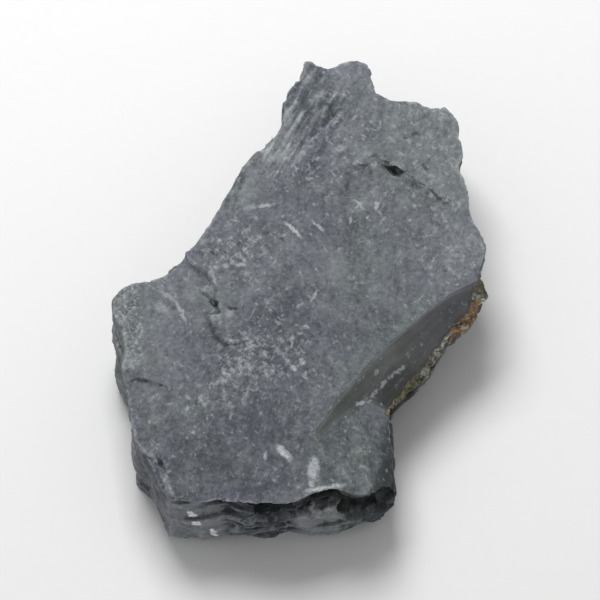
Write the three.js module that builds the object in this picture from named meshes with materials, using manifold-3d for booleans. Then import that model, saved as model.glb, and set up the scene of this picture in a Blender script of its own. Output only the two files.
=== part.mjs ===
// Slate rock: one split slab of dark grey slate, lying on its flattest cleavage face.
// Millimetres. +Z is up, across the cleavage. +Y runs the long way, towards the narrow spur.
// The origin is under the middle of the slab, on the plane that it lies on.
import * as THREE from "three";
import { mergeVertices } from "three/addons/utils/BufferGeometryUtils.js";
import Module from "manifold-3d";

// Driving dimensions
const crownHeight = 31.6;
const skinTop = 34;
const rimStep = 3.4;
const topCell = 3.6;
const reachOut = 90;
const plateStep = 1.1;
const freshStep = 0.45;
const lobeStep = 0.9;
const cornerStep = 1.3;
const jointSlope = 43;
const jointScoop = 2.8;
const jointFacets = 12;
const blockFall = 0.2;
const blockBend = 19;
const blockTurnDown = 0.6;
const chipSpacing = 24;
const shade = 0.02;

// The slab's plan, counter-clockwise, as stretches of side. Each stretch has one profile:
// how far its side stands in from the plan at each of profileHeights, foot first.
const profileHeights = [0, 8, 16, 24, 31];
const sides = [
  {
    name: "right flank",
    profile: [7, 3, 3.5, 1.5, 0],
    plan: [[53, 0.5], [54, 5], [53.2, 12], [50, 21], [47.6, 31], [46.8, 42], [45.6, 49]],
  },
  {
    name: "right shoulder",
    profile: [6, 1, -1.5, -0.5, 0],
    plan: [[40.5, 54.5], [34, 56.8], [25.5, 57.5]],
  },
  {
    name: "spur",
    profile: [6, 4, 1, 0.5, 0],
    plan: [
      [22.5, 60.5], [20.3, 65], [19, 70.5], [15, 73], [11, 71.8], [7.5, 69.4], [4, 72.3], [2, 72.8],
      [0.4, 69],
    ],
  },
  {
    name: "left spur flank",
    profile: [7, 3.5, 1, 2.5, 0],
    plan: [
      [-3, 61.5], [-5.5, 54], [-9, 47], [-12, 42.3], [-14.5, 42.5], [-17.5, 37], [-20.5, 29], [-24, 21.5],
      [-30, 11.5],
    ],
  },
  {
    name: "notch",
    profile: [5, 2, 3.5, 2, 0],
    plan: [[-34.6, 6], [-38.8, 2], [-43, 0.2]],
  },
  {
    name: "left lobe",
    profile: [4.5, 2.5, 2.5, 1.5, 0],
    plan: [
      [-48, -0.8], [-51.3, -2.9], [-53.2, -6], [-54.2, -11], [-53.9, -18], [-52.4, -27.5], [-50, -34.5],
    ],
  },
  {
    name: "left wall",
    profile: [3, 0, 0, 1, 2.2],
    plan: [[-48.9, -40], [-48.5, -46], [-47.4, -52]],
  },
  {
    name: "left corner",
    profile: [5.5, 3, 2, 2.5, 4],
    plan: [[-44.8, -58], [-43, -65.5], [-39.4, -71.2]],
  },
  {
    name: "front",
    profile: [9.3, 6.8, 5.5, 8, 0],
    plan: [[-33.8, -76], [-28, -77.2], [-21, -76], [-14, -77.6], [-6, -77.3], [1, -75.6]],
  },
  {
    name: "low ledge",
    profile: [5, 1, 5, 4.5, 1.5],
    plan: [[4.5, -72], [11, -71]],
  },
  {
    name: "block front",
    profile: [9, 5, 5, 4, 1],
    plan: [[18, -71.8], [24.5, -69]],
  },
  {
    name: "block side",
    profile: [5, 1.5, 0, 1.5, 2],
    plan: [[26.3, -63], [25.6, -54], [26.3, -45]],
  },
  {
    name: "stained side",
    profile: [8, 5, 1.5, 0, 0],
    plan: [[28, -38.5], [33, -31.2], [39.5, -23.2], [44, -15], [47.5, -8.2], [51.5, -2.5]],
  },
];

// Heights of the cleavage planes that the sides have broken along, from the foot up.
const cleavage = [0, 2.6, 6.2, 8.4, 12.4, 15, 17.2, 21, 23.4, 25.2, 28.4, skinTop];

// Edges of the layers that have peeled from the crown, as lines of plan points.
const plateEdge = [
  [62, 12], [47, 20], [43, 23.6], [40, 25.5], [37, 28.4], [34, 30.5], [29, 32.6], [24, 36.3],
  [20, 36.9], [17, 35.8], [15, 38], [12, 41], [8, 41.6], [3, 41.3], [0, 42], [-3, 40], [-7, 38.8],
  [-11, 35], [-14, 29], [-21, 22],
];
const lobeEdge = [
  [-34, 10], [-31.9, 4.2], [-28.3, 1.5], [-25.8, -0.2], [-23.4, -5], [-24.5, -9.2], [-22.3, -12.6],
  [-26.3, -12.8], [-25.2, -15.4], [-24.1, -19.4], [-22, -21.4], [-19.5, -22.2], [-15.6, -21], [-10, -20],
];
const cornerEdge = [
  [-54, -32.2], [-49.6, -32], [-46.2, -31.6], [-43.7, -32.4], [-41.2, -33.7], [-36.7, -35.5], [-33, -36.5],
];

// Open cracks and furrows in the crown: both plan ends, half the width, and depth below the main face.
const furrows = [
  { from: [23.2, 36.8], to: [30.6, 32], half: 1.5, depth: 2.4 },
  { from: [-51, -32.3], to: [-42, -32.6], half: 0.8, depth: 3.2 },
  { from: [-44, -32.3], to: [-35.2, -36.2], half: 0.7, depth: 2.6 },
  { from: [13, 37], to: [14.4, 20], half: 1.5, depth: 0.9 },
  { from: [14.5, 24], to: [12.6, 6], half: 1.3, depth: 0.5 },
  { from: [-25.6, -7], to: [-23.2, -12], half: 1.2, depth: 2 },
  { from: [-21.3, -10.9], to: [-18.4, -11.6], half: 0.6, depth: 0.9 },
  { from: [-43.8, -50], to: [-35.2, -66.5], half: 1.5, depth: 3.4 },
  { from: [-14.6, 37.5], to: [-21, 16], half: 1.6, depth: 0.9 },
  { from: [-9.5, 41], to: [-4, 56], half: 1, depth: 0.8 },
  { from: [-5.2, 41.5], to: [1, 60], half: 1.1, depth: 1 },
  { from: [-1.8, 43], to: [5.6, 66], half: 1.2, depth: 0.9 },
  { from: [2.4, 43.5], to: [8, 59], half: 0.9, depth: 0.8 },
  { from: [6.4, 44], to: [13, 69], half: 1.1, depth: 0.9 },
  { from: [11.4, 44], to: [16.6, 62], half: 1, depth: 0.6 },
];

const wasm = await Module();
wasm.setup();

// A repeatable number from 0 to 1 for a point of the whole-number lattice.
function latticeValue(i, j, k) {
  let h = Math.imul(i, 374761393) ^ Math.imul(j, 668265263) ^ Math.imul(k, 974634777);
  h = Math.imul(h ^ (h >>> 13), 1274126177);
  h = Math.imul(h ^ (h >>> 16), 2246822519);
  return ((h ^ (h >>> 15)) >>> 0) / 4294967296;
}

// Smooth noise from -1 to 1.
function noise(x, y = 0, z = 0) {
  const [i, j, k] = [x, y, z].map(Math.floor);
  const [u, v, w] = [x - i, y - j, z - k].map((t) => t * t * (3 - 2 * t));
  const lerp = THREE.MathUtils.lerp;
  const edge = (dj, dk) => lerp(latticeValue(i, j + dj, k + dk), latticeValue(i + 1, j + dj, k + dk), u);
  const face = (dk) => lerp(edge(0, dk), edge(1, dk), v);
  return 2 * lerp(face(0), face(1), w) - 1;
}

// Noise along a line that runs straight between its corners, as a brittle edge does.
function ragged(along, across, seed) {
  const corner = Math.floor(along);
  return THREE.MathUtils.lerp(noise(corner, across, seed), noise(corner + 1, across, seed), along - corner);
}

function solidOf(geometry, matrix = new THREE.Matrix4()) {
  const bare = new THREE.BufferGeometry().setAttribute("position", geometry.getAttribute("position").clone());
  if (geometry.index) bare.setIndex(geometry.index);
  bare.applyMatrix4(matrix);
  const merged = mergeVertices(bare, 1e-4);
  return new wasm.Manifold(
    new wasm.Mesh({
      numProp: 3,
      vertProperties: merged.getAttribute("position").array,
      triVerts: new Uint32Array(merged.index.array),
    }),
  );
}

function geometryOf(solid) {
  const mesh = solid.getMesh();
  return new THREE.BufferGeometry()
    .setAttribute("position", new THREE.BufferAttribute(mesh.vertProperties, 3))
    .setIndex(new THREE.BufferAttribute(mesh.triVerts, 1));
}

// Points round the plan: its corners, and steps between them. Each has its outward direction
// and its side's profile.
function rimStations() {
  const corners = sides.flatMap((side) => side.plan.map(([x, y]) => ({ x, y, profile: side.profile })));
  const stations = [];
  let along = 0;
  corners.forEach((a, n) => {
    const b = corners[(n + 1) % corners.length];
    const length = Math.hypot(b.x - a.x, b.y - a.y);
    const steps = Math.max(1, Math.round(length / rimStep));
    for (let step = 0; step < steps; step++) {
      const t = step / steps;
      stations.push({
        along: along + t * length,
        x: THREE.MathUtils.lerp(a.x, b.x, t),
        y: THREE.MathUtils.lerp(a.y, b.y, t),
        profile: a.profile.map((value, level) => THREE.MathUtils.lerp(value, b.profile[level], t)),
      });
    }
    along += length;
  });
  const reach = 2;
  stations.forEach((station, n) => {
    const before = stations[(n - reach + stations.length) % stations.length];
    const after = stations[(n + reach) % stations.length];
    const run = Math.hypot(after.x - before.x, after.y - before.y);
    station.outX = (after.y - before.y) / run;
    station.outY = (before.x - after.x) / run;
  });
  return stations;
}

function inset(profile, height) {
  const level = profileHeights.findIndex((h) => h >= height);
  if (level < 0) return profile.at(-1);
  if (level === 0) return profile[0];
  const t = (height - profileHeights[level - 1]) / (profileHeights[level] - profileHeights[level - 1]);
  return THREE.MathUtils.lerp(profile[level - 1], profile[level], t);
}

// The slab before its faces are dressed: a stack of cleavage layers, each broken off at its own line.
function layeredSlab() {
  const stations = rimStations();
  const around = stations.length;
  const points = [];
  for (let layer = 0; layer + 1 < cleavage.length; layer++) {
    const middle = (cleavage[layer] + cleavage[layer + 1]) / 2;
    const crown = layer + 2 === cleavage.length;
    for (const edge of [0, 1]) {
      for (const { x, y, along, profile, outX, outY } of stations) {
        const joints = 1.5 * ragged(along / 15, middle / 12, 2) + 0.8 * ragged(along / 7, middle / 6, 4);
        const ledge = 1.4 * ragged(along / 11, layer * 7.3, 9) + 0.5 * ragged(along / 5, layer * 3.1, 14);
        const lean = edge * (0.5 + 0.8 * ragged(along / 12, layer * 5.7, 21));
        const broken = crown ? 0.5 * joints + 0.4 * ledge : joints + ledge - lean;
        const out = broken - inset(profile, middle);
        const swell = layer + edge > 0 ? 0.6 * noise(x / 26, y / 26, (layer + edge) * 2.3) : 0;
        points.push(x + outX * out, y + outY * out, cleavage[layer + edge] + swell);
      }
    }
  }
  const rings = 2 * (cleavage.length - 1);
  const faces = [];
  for (let ring = 0; ring + 1 < rings; ring++) {
    for (let n = 0; n < around; n++) {
      const next = (n + 1) % around;
      const low = ring * around;
      const high = low + around;
      faces.push(low + n, low + next, high + next, low + n, high + next, high + n);
    }
  }
  const planPoint = (n) => new THREE.Vector2(points[3 * n], points[3 * n + 1]);
  const contour = (ring) => stations.map((_, n) => planPoint(ring * around + n));
  for (const [a, b, c] of THREE.ShapeUtils.triangulateShape(contour(0), [])) faces.push(c, b, a);
  const roof = (rings - 1) * around;
  for (const [a, b, c] of THREE.ShapeUtils.triangulateShape(contour(rings - 1), [])) {
    faces.push(roof + a, roof + b, roof + c);
  }
  const geometry = new THREE.BufferGeometry();
  geometry.setAttribute("position", new THREE.Float32BufferAttribute(points, 3));
  geometry.setIndex(faces);
  return solidOf(geometry);
}

// Everything above a surface, out past the slab on all sides.
function above(surface, cell) {
  const side = 2 * reachOut;
  const cells = Math.round(side / cell);
  const block = new THREE.BoxGeometry(side, side, 1, cells, cells, 1);
  const position = block.getAttribute("position");
  for (let n = 0; n < position.count; n++) {
    const [x, y] = [position.getX(n), position.getY(n)];
    position.setZ(n, position.getZ(n) > 0 ? reachOut : surface(x, y));
  }
  return solidOf(block);
}

// An upright prism on a plan outline, from one height to another.
function prism(outline, low, high) {
  const shape = new THREE.Shape(outline.map(([x, y]) => new THREE.Vector2(x, y)));
  const geometry = new THREE.ExtrudeGeometry(shape, { depth: high - low, bevelEnabled: false });
  return solidOf(geometry, new THREE.Matrix4().makeTranslation(0, 0, low));
}

// The outermost cleavage face, before any layer has peeled from it.
function crownFace(x, y) {
  const towardsFront = 0.065 * Math.max(0, -26 - y);
  const towardsLeft = 0.08 * Math.max(0, -26 - x);
  const towardsRight = 0.04 * Math.max(0, x - 13);
  const alongSpur = 0.18 * Math.max(0, y - 40) * THREE.MathUtils.clamp((25 - x) / 9, 0.25, 1);
  const swell = 0.7 * noise(x / 24, y / 24, 5) + 0.3 * noise(x / 9, y / 12, 17);
  return crownHeight - towardsFront - towardsLeft - towardsRight - alongSpur + swell;
}

// What has come off the crown inside an outline, down to a depth below the outermost face.
// A depth that runs out to nothing leaves a step that fades away. A shallower outline may
// reach in under a deeper one, so that no skin is left between them.
function peeled(outline, depth) {
  return above((x, y) => crownFace(x, y) - depth(x, y), topCell).intersect(prism(outline, 0, reachOut));
}

function peels() {
  const far = reachOut;
  const fade = THREE.MathUtils.smoothstep;
  const mainFace = [...plateEdge, [-40, 22], [-far, 22], [-far, -far], [far, -far], [far, 12]];
  const leftOfPlate = [[24, far], [-far, far], [-far, 18], [-21, 18], [-14, 25], [-9, 33], [24, 33]];
  const lobe = [...lobeEdge, [-10, -far], [-far, -far], [-far, 10]];
  const corner = [...cornerEdge, [-30, -far], [-far, -far], [-far, -34]];
  const freshDepth = (x, y) => freshStep * fade(y, 4, 24) * fade(x, -13, -3) * (1 - fade(x, 34, 48));
  const mainDepth = (x, y) => plateStep * (1 - 0.6 * fade(x, 34, 48) * fade(y, 0, 16)) + freshDepth(x, y);
  const lobeDepth = (x) => plateStep + lobeStep * (1 - fade(x, -22, -11));
  return [
    peeled(mainFace, mainDepth),
    peeled(leftOfPlate, (x) => plateStep * (1 - fade(x, 10, 24)) - shade),
    peeled(lobe, (x) => lobeDepth(x) - shade),
    peeled(corner, (x) => lobeDepth(x) - shade + cornerStep * (1 - fade(x, -48, -35))),
  ];
}

// The wedge that broke off the right-hand side: a scooped joint face stops it at the back,
// and it came off a tilted cleavage face, which now tops the low block.
function jointWedge() {
  const start = new THREE.Vector3(52.5, 0.5, 0);
  const tip = new THREE.Vector3(3.6, -50.2, 0);
  const alongEdge = tip.clone().sub(start).normalize();
  const outward = new THREE.Vector3(-alongEdge.y, alongEdge.x, 0);
  const slope = THREE.MathUtils.degToRad(jointSlope);
  const facing = outward.clone().multiplyScalar(Math.sin(slope)).setZ(Math.cos(slope));
  const upSlope = alongEdge.clone().cross(facing);
  const half = start.distanceTo(tip) / 2;
  const run = 1.35 * half;
  const curve = [];
  for (let n = 0; n <= jointFacets; n++) {
    const t = -run + (2 * run * n) / jointFacets;
    curve.push(new THREE.Vector2(t, -jointScoop * (1 - (t / half) ** 2)));
  }
  curve.push(new THREE.Vector2(run, reachOut), new THREE.Vector2(-run, reachOut));
  const section = new THREE.Shape(curve);
  const scoop = new THREE.ExtrudeGeometry(section, { depth: 2 * reachOut, bevelEnabled: false });
  scoop.translate(0, 0, -reachOut);
  const middle = start.clone().add(tip).multiplyScalar(0.5).setZ(crownHeight - plateStep);
  const place = new THREE.Matrix4().makeBasis(alongEdge, facing, upSlope).setPosition(middle);
  const tipHeight = crownFace(tip.x, tip.y) - plateStep;
  const blockTop = (x, y) => {
    const swell = 0.3 * noise(x / 9, y / 9, 31);
    const turnedDown = blockTurnDown * Math.max(0, x - blockBend - 1.5 * noise(y / 7, 3));
    return tipHeight - blockFall * (x - tip.x) - turnedDown - 0.04 * (y - tip.y) + swell;
  };
  return solidOf(scoop, place).intersect(above(blockTop, 1.5 * topCell));
}

// A flat face broken across an edge that runs between two points, falling away to the right of the way.
function edgeFacet(start, end, slope) {
  const from = new THREE.Vector3(...start);
  const alongEdge = new THREE.Vector3(...end).sub(from);
  const length = alongEdge.length();
  alongEdge.normalize();
  const outward = new THREE.Vector3(alongEdge.y, -alongEdge.x, 0).normalize();
  const tilt = THREE.MathUtils.degToRad(slope);
  const facing = outward.multiplyScalar(Math.sin(tilt)).setZ(Math.cos(tilt));
  const across = facing.clone().cross(alongEdge).normalize();
  facing.crossVectors(alongEdge, across);
  const block = new THREE.BoxGeometry(length, 40, 40).translate(length / 2, 0, 20);
  return solidOf(block, new THREE.Matrix4().makeBasis(alongEdge, across, facing).setPosition(from));
}

// A long, narrow diamond let into the crown, deepest at its middle and pinching out at both ends.
function furrow({ from, to, half, depth }) {
  const [start, end] = [from, to].map(([x, y]) => new THREE.Vector3(x, y, crownFace(x, y) - plateStep));
  const alongCrack = end.clone().sub(start);
  const length = alongCrack.length();
  alongCrack.normalize();
  const sideways = new THREE.Vector3(-alongCrack.y, alongCrack.x, 0).normalize();
  const place = new THREE.Matrix4()
    .makeBasis(alongCrack, sideways, alongCrack.clone().cross(sideways))
    .setPosition(start.add(end).multiplyScalar(0.5))
    .multiply(new THREE.Matrix4().makeScale(length / 2, half, depth));
  return solidOf(new THREE.OctahedronGeometry(1, 0), place);
}

// A rounded bite, as a shell-shaped chip leaves.
function bite([x, y, z], [a, b, c], turn, tip) {
  const place = new THREE.Matrix4()
    .makeTranslation(x, y, z)
    .multiply(new THREE.Matrix4().makeRotationZ(turn))
    .multiply(new THREE.Matrix4().makeRotationY(tip))
    .multiply(new THREE.Matrix4().makeScale(a, b, c));
  return solidOf(new THREE.IcosahedronGeometry(1, 1), place);
}

function edgeChips() {
  const stations = rimStations();
  const every = Math.round(chipSpacing / rimStep);
  return stations
    .filter((_, n) => n % every === 3)
    .map(({ x, y, along, outX, outY, profile }) => {
      const size = 3.6 + 1.6 * noise(along, 2);
      const out = 1.2 - profile.at(-1);
      const turn = Math.atan2(outY, outX) + 0.6 * noise(along, 5);
      const at = [x + outX * out, y + outY * out, crownFace(x, y) - plateStep];
      return bite(at, [0.75 * size, size, 1.6], turn, 0.35);
    });
}

// The steps under the spur and the right flank, where the lowest layers have come away.
function undersideSteps() {
  const far = reachOut;
  const brokenLine = (place, layer) => {
    const line = [];
    for (let t = -far; t <= far; t += 6) {
      line.push(place(t, 2.2 * ragged(t / 11, layer * 4.1, 40) + ragged(t / 6, layer, 44)));
    }
    return line;
  };
  const underSpur = cleavage.slice(1, 5).map((top, layer) => {
    const line = brokenLine((t, broken) => [t, 38 + 6.5 * layer - 0.12 * t + broken], layer);
    return prism([...line, [far, 2 * far], [-far, 2 * far]], -1, top);
  });
  const underFlank = cleavage.slice(1, 3).map((top, layer) => {
    const line = brokenLine((t, broken) => [40 + 4 * layer - 0.12 * t + broken, -t], layer);
    return prism([...line, [2 * far, -far], [2 * far, far]], -1, top);
  });
  return [...underSpur, ...underFlank];
}

function slateRock() {
  const cuts = [
    above(crownFace, topCell),
    ...peels(),
    jointWedge(),
    edgeFacet([-11, 46, 29], [-31, 9, 29.8], 32),
    edgeFacet([-50, -33, 29.8], [-29.5, -79, 26], 34),
    edgeFacet([22.2, -75, 21.6], [25.8, -38.5, 24.4], 52),
    bite([-12.5, -77, 24.6], [6.5, 5, 2.6], 0, 0),
    bite([14, -72, 22.4], [11, 6.5, 3.4], 0, 0.36),
    bite([20, -74, 15], [7, 6, 4.5], -0.2, 0.2),
    bite([-12, -77, 17.5], [5.5, 5, 3.2], 0, 0),
    ...furrows.map(furrow),
    ...edgeChips(),
    ...undersideSteps(),
  ];
  return cuts.reduce((rock, cut) => rock.subtract(cut), layeredSlab());
}

const solid = slateRock();
const { min, max } = solid.boundingBox();
const centred = solid.translate([-(min[0] + max[0]) / 2, -(min[1] + max[1]) / 2, -min[2]]);

const rock = new THREE.Mesh(
  geometryOf(centred),
  new THREE.MeshStandardMaterial({ color: 0x6b6f75, roughness: 0.75, metalness: 0 }),
);
rock.name = "slate_rock";

const group = new THREE.Group();
group.add(rock);
export default group;
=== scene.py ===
"""Slate rock: a split slab of dark grey slate, dressed over its measured solid and set on a studio floor."""

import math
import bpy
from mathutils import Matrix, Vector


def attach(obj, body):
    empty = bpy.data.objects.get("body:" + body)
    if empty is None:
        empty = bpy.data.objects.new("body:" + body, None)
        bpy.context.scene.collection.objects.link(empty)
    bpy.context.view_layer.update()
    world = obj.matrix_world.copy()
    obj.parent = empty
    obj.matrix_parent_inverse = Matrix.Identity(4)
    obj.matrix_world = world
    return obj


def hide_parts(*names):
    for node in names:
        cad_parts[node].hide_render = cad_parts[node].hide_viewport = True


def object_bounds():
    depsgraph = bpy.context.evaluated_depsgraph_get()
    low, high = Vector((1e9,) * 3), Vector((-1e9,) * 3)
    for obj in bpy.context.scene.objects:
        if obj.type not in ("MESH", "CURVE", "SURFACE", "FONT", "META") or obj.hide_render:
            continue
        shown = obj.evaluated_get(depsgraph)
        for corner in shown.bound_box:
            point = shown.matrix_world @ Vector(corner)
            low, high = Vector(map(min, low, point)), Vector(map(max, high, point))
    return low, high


bl_info = {
    "name": "Slate Rock",
    "version": (1, 0, 0),
    "blender": (4, 5, 0),
    "location": "3D View > Sidebar > Slate Rock",
    "description": "Dresses a split slab of slate with layers, grain, flecks and stains, and sets its stage",
    "category": "Add Mesh",
}

import bpy
from bpy.props import FloatProperty, FloatVectorProperty, IntProperty, PointerProperty
from bpy.types import Operator, Panel, PropertyGroup
from mathutils import Vector

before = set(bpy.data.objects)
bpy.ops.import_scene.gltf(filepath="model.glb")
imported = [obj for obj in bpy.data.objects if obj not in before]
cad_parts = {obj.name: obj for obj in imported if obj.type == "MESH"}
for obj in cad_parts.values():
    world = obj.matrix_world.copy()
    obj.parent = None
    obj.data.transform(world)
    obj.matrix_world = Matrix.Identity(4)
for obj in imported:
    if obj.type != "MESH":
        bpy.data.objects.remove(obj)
CAD_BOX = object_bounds()
ROCK_NODE = "slate_rock"
ROCK_BODY = "root"

WHITE = (1.0, 1.0, 1.0, 1.0)

# Places on the rock are in millimetres, from a point near its middle.
MM = 0.001
PLAN_ORIGIN = Vector((0.13, -0.78, 0.0))

# The joint face at the right: both ends of its upper edge, its slope, and how deep it is scooped.
JOINT_TOP = 30.5
JOINT_START = Vector((52.5, 0.5, JOINT_TOP))
JOINT_TIP = Vector((3.6, -50.2, JOINT_TOP))
JOINT_SLOPE = math.radians(43)
JOINT_SCOOP = 2.8

# At its upper end the joint face is worn down by this much, and less and less down to JOINT_WORN_TO.
JOINT_WORN = 0.9
JOINT_WORN_TO = -34.0

# The low block in front of the joint face: its height at the tip, how fast it falls to the right and
# to the back, from where along X it turns down more steeply, and how much more.
BLOCK_TOP = 29.0
BLOCK_FALL = (0.2, 0.04)
BLOCK_BEND = 19.0
BLOCK_TURN_DOWN = 0.6

# Soft limits along Y and Z of the front side, which lies under the rim.
FRONT_Y = (-58.0, -61.0)
FRONT_Z = (26.5, 25.0)

# The narrow spur at the back, which is ribbed: its middle, its lean in degrees, and the ribs' lean.
SPUR_MIDDLE = (-1.0, 53.0)
SPUR_LEAN = 22.0
RIB_LEAN = 27.0

# Points of the CAD mesh that lie closer than this are one. Edges sharper than the angle stay sharp.
MERGE_DISTANCE = 0.00001
SMOOTH_ANGLE = math.radians(38)

# The foot of the joint face, where it meets the rock's side. Iron has stained it.
STAINED_FOOT = [
    (53.2, -1.2), (50.1, -9.8), (48.0, -13.1), (44.6, -15.8), (39.4, -23.6), (32.8, -31.4), (27.6, -38.6)
]


def colour_setting(name, description, default):
    return FloatVectorProperty(name=name, description=description, subtype="COLOR", default=default)


class SlateRockSettings(PropertyGroup):
    """Sizes and colours of the rock."""

    voxel: FloatProperty(
        name="Fine mesh", description="Grid of the fine surface", default=0.00038, min=0.0003, unit="LENGTH"
    )
    most_triangles: IntProperty(
        name="Most triangles", description="The fine surface is thinned to this", default=188000, min=20000
    )
    sheet: FloatProperty(
        name="Sheet", description="Thickness of the thin sheets on the sides", default=0.0013, min=0.0005,
        unit="LENGTH",
    )
    ragged: FloatProperty(
        name="Ragged", description="How far the sheets' edges stand in and out", default=0.0009, min=0.0,
        unit="LENGTH",
    )
    grain: FloatProperty(
        name="Grain", description="Share of the split faces' grain that shows", default=1.0, min=0.0
    )
    body: colour_setting("Slate", "Darkest clean slate", (0.061, 0.068, 0.084))
    dust: colour_setting("Dust", "Slate under the most dust", (0.300, 0.316, 0.342))
    even_tone: FloatProperty(
        name="Even tone", description="Where the main face lies between slate and dust", default=0.30,
        subtype="FACTOR", min=0.0, max=1.0,
    )
    joint: colour_setting("Joint face", "Slate cut clean", (0.087, 0.093, 0.092))
    calcite: colour_setting("Calcite", "White mineral flecks", (0.50, 0.52, 0.55))
    rust: colour_setting("Rust", "Fresh iron stain", (0.24, 0.108, 0.020))
    crust: colour_setting("Crust", "Pale grains", (0.47, 0.47, 0.39))
    lichen: colour_setting("Olive crust", "Olive grains", (0.28, 0.26, 0.11))
    stain: colour_setting("Stain", "Dark stain under the crust", (0.045, 0.038, 0.026))


class SlateStageSettings(PropertyGroup):
    """Floor, light and camera."""

    floor: colour_setting("Floor", "Colour of the floor", (0.86, 0.86, 0.86))
    view_height: FloatProperty(
        name="View height", description="How far above level the camera looks from", default=math.radians(62),
        subtype="ANGLE",
    )
    view_distance: FloatProperty(
        name="View distance", description="From the camera to the rock", default=3.0, unit="LENGTH"
    )
    view_width: FloatProperty(
        name="View width", description="Width of the picture at the rock", default=0.1719, unit="LENGTH"
    )
    sky: FloatProperty(name="Sky", description="Strength of the light from all round", default=0.40, min=0.0)
    lamp: FloatProperty(
        name="Lamp", description="Strength of the soft box", default=8.1, min=0.0, unit="POWER"
    )
    lamp_size: FloatProperty(name="Lamp size", description="Side of the soft box", default=0.5, unit="LENGTH")


class Wiring:
    """Adds nodes to one tree. A value passed in is either a plain value or another node's output.

    The functions below call it w for short.
    """

    def __init__(self, tree):
        self.tree = tree

    def node(self, kind, inputs=None, **settings):
        node = self.tree.nodes.new(kind)
        for name, value in settings.items():
            setattr(node, name, value)
        for key, value in (inputs or {}).items():
            if isinstance(value, bpy.types.NodeSocket):
                self.tree.links.new(value, node.inputs[key])
            else:
                node.inputs[key].default_value = value
        return node

    def maths(self, operation, *values):
        return self.node("ShaderNodeMath", dict(enumerate(values)), operation=operation).outputs[0]

    def line(self, value, slope, start):
        return self.maths("MULTIPLY_ADD", value, slope, start)

    def inverse(self, mask):
        """0 where the mask is 1, and 1 where it is 0."""
        return self.maths("SUBTRACT", 1.0, mask)

    def larger(self, first, second):
        return self.maths("MAXIMUM", first, second)

    def clamped(self, value):
        return self.node("ShaderNodeClamp", {0: value}).outputs[0]

    def total(self, first, *others):
        for other in others:
            first = self.maths("ADD", first, other)
        return first

    def product(self, first, *others):
        for other in others:
            first = self.maths("MULTIPLY", first, other)
        return first

    def vector(self, operation, *values):
        node = self.node("ShaderNodeVectorMath", dict(enumerate(values)), operation=operation)
        return node.outputs["Value" if operation in {"DOT_PRODUCT", "LENGTH", "DISTANCE"} else "Vector"]

    def scaled(self, vector, factor):
        return self.node("ShaderNodeVectorMath", {0: vector, "Scale": factor}, operation="SCALE").outputs[0]

    def split(self, vector):
        return self.node("ShaderNodeSeparateXYZ", {0: vector}).outputs

    def joined(self, x, y, z):
        return self.node("ShaderNodeCombineXYZ", {0: x, 1: y, 2: z}).outputs[0]

    def noise(self, place, size, detail=2.0, roughness=0.5, distortion=0.0):
        """Noise from 0 to 1, with features of about the given size."""
        inputs = {"Vector": place, "Scale": 1 / size, "Detail": detail}
        inputs |= {"Roughness": roughness, "Distortion": distortion}
        return self.node("ShaderNodeTexNoise", inputs).outputs[0]

    def noise_colour(self, place, size):
        """Three separate noises, as one vector round 0.5."""
        return self.node("ShaderNodeTexNoise", {"Vector": place, "Scale": 1 / size}).outputs[1]

    def wander(self, place, size):
        """Three separate noises, as one vector round 0."""
        return self.vector("SUBTRACT", self.noise_colour(place, size), (0.5, 0.5, 0.5))

    def strayed(self, place, *strays):
        """A place led astray by wandering vectors, each with its reach in millimetres."""
        first, *others = [self.scaled(wander, reach) for wander, reach in strays]
        for other in others:
            first = self.vector("ADD", first, other)
        return self.vector("ADD", place, first)

    def swing(self, place, size, **options):
        """Noise from about -1 to 1."""
        return self.line(self.noise(place, size, **options), 2.0, -1.0)

    def varied(self, noise, *amounts):
        """Noise from 0 to 1, put round 0 and scaled."""
        return self.product(self.total(noise, -0.5), *amounts)

    def cells(self, place, size):
        """Irregular cells: the distance from each one's middle, a colour for each, and its middle."""
        return self.node("ShaderNodeTexVoronoi", {"Vector": place, "Scale": 1 / size}).outputs

    def remap(self, value, low, high, to_low=0.0, to_high=1.0):
        """A smooth step from to_low at low to to_high at high. It falls where low is above high."""
        inputs = {0: value, 1: low, 2: high, 3: to_low, 4: to_high}
        return self.node("ShaderNodeMapRange", inputs, interpolation_type="SMOOTHSTEP").outputs[0]

    def tint(self, amount, under, over, way="MIX"):
        """One colour laid over another by an amount from 0 to 1."""
        inputs = {0: amount, 6: under, 7: over}
        return self.node("ShaderNodeMix", inputs, data_type="RGBA", blend_type=way).outputs[2]

    def shaded(self, amount, colour, shade):
        """A colour multiplied by a shade."""
        return self.tint(amount, colour, opaque(shade), "MULTIPLY")

    def group(self, tree, **inputs):
        return self.node("ShaderNodeGroup", inputs, node_tree=tree).outputs[0]

    def plan_place(self, position):
        """A position in metres, as a place in millimetres."""
        return self.vector("SUBTRACT", self.scaled(position, 1 / MM), PLAN_ORIGIN)

    def rotated(self, place, angle):
        inputs = {"Vector": place, "Angle": angle}
        return self.node("ShaderNodeVectorRotate", inputs, rotation_type="Z_AXIS").outputs[0]

    def turned(self, place, lean, stretch):
        """A place with the direction that leans so far clockwise from +Y turned onto Y, then scaled."""
        return self.vector("MULTIPLY", self.rotated(place, math.radians(lean)), stretch)

    def blurred(self, value, spread, kind="FLOAT_VECTOR"):
        """A value evened out over the mesh, in so many steps from point to point."""
        inputs = {"Value": value, "Iterations": spread}
        return self.node("GeometryNodeBlurAttribute", inputs, data_type=kind).outputs[0]


def opaque(colour):
    return (*colour, 1.0)


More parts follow.
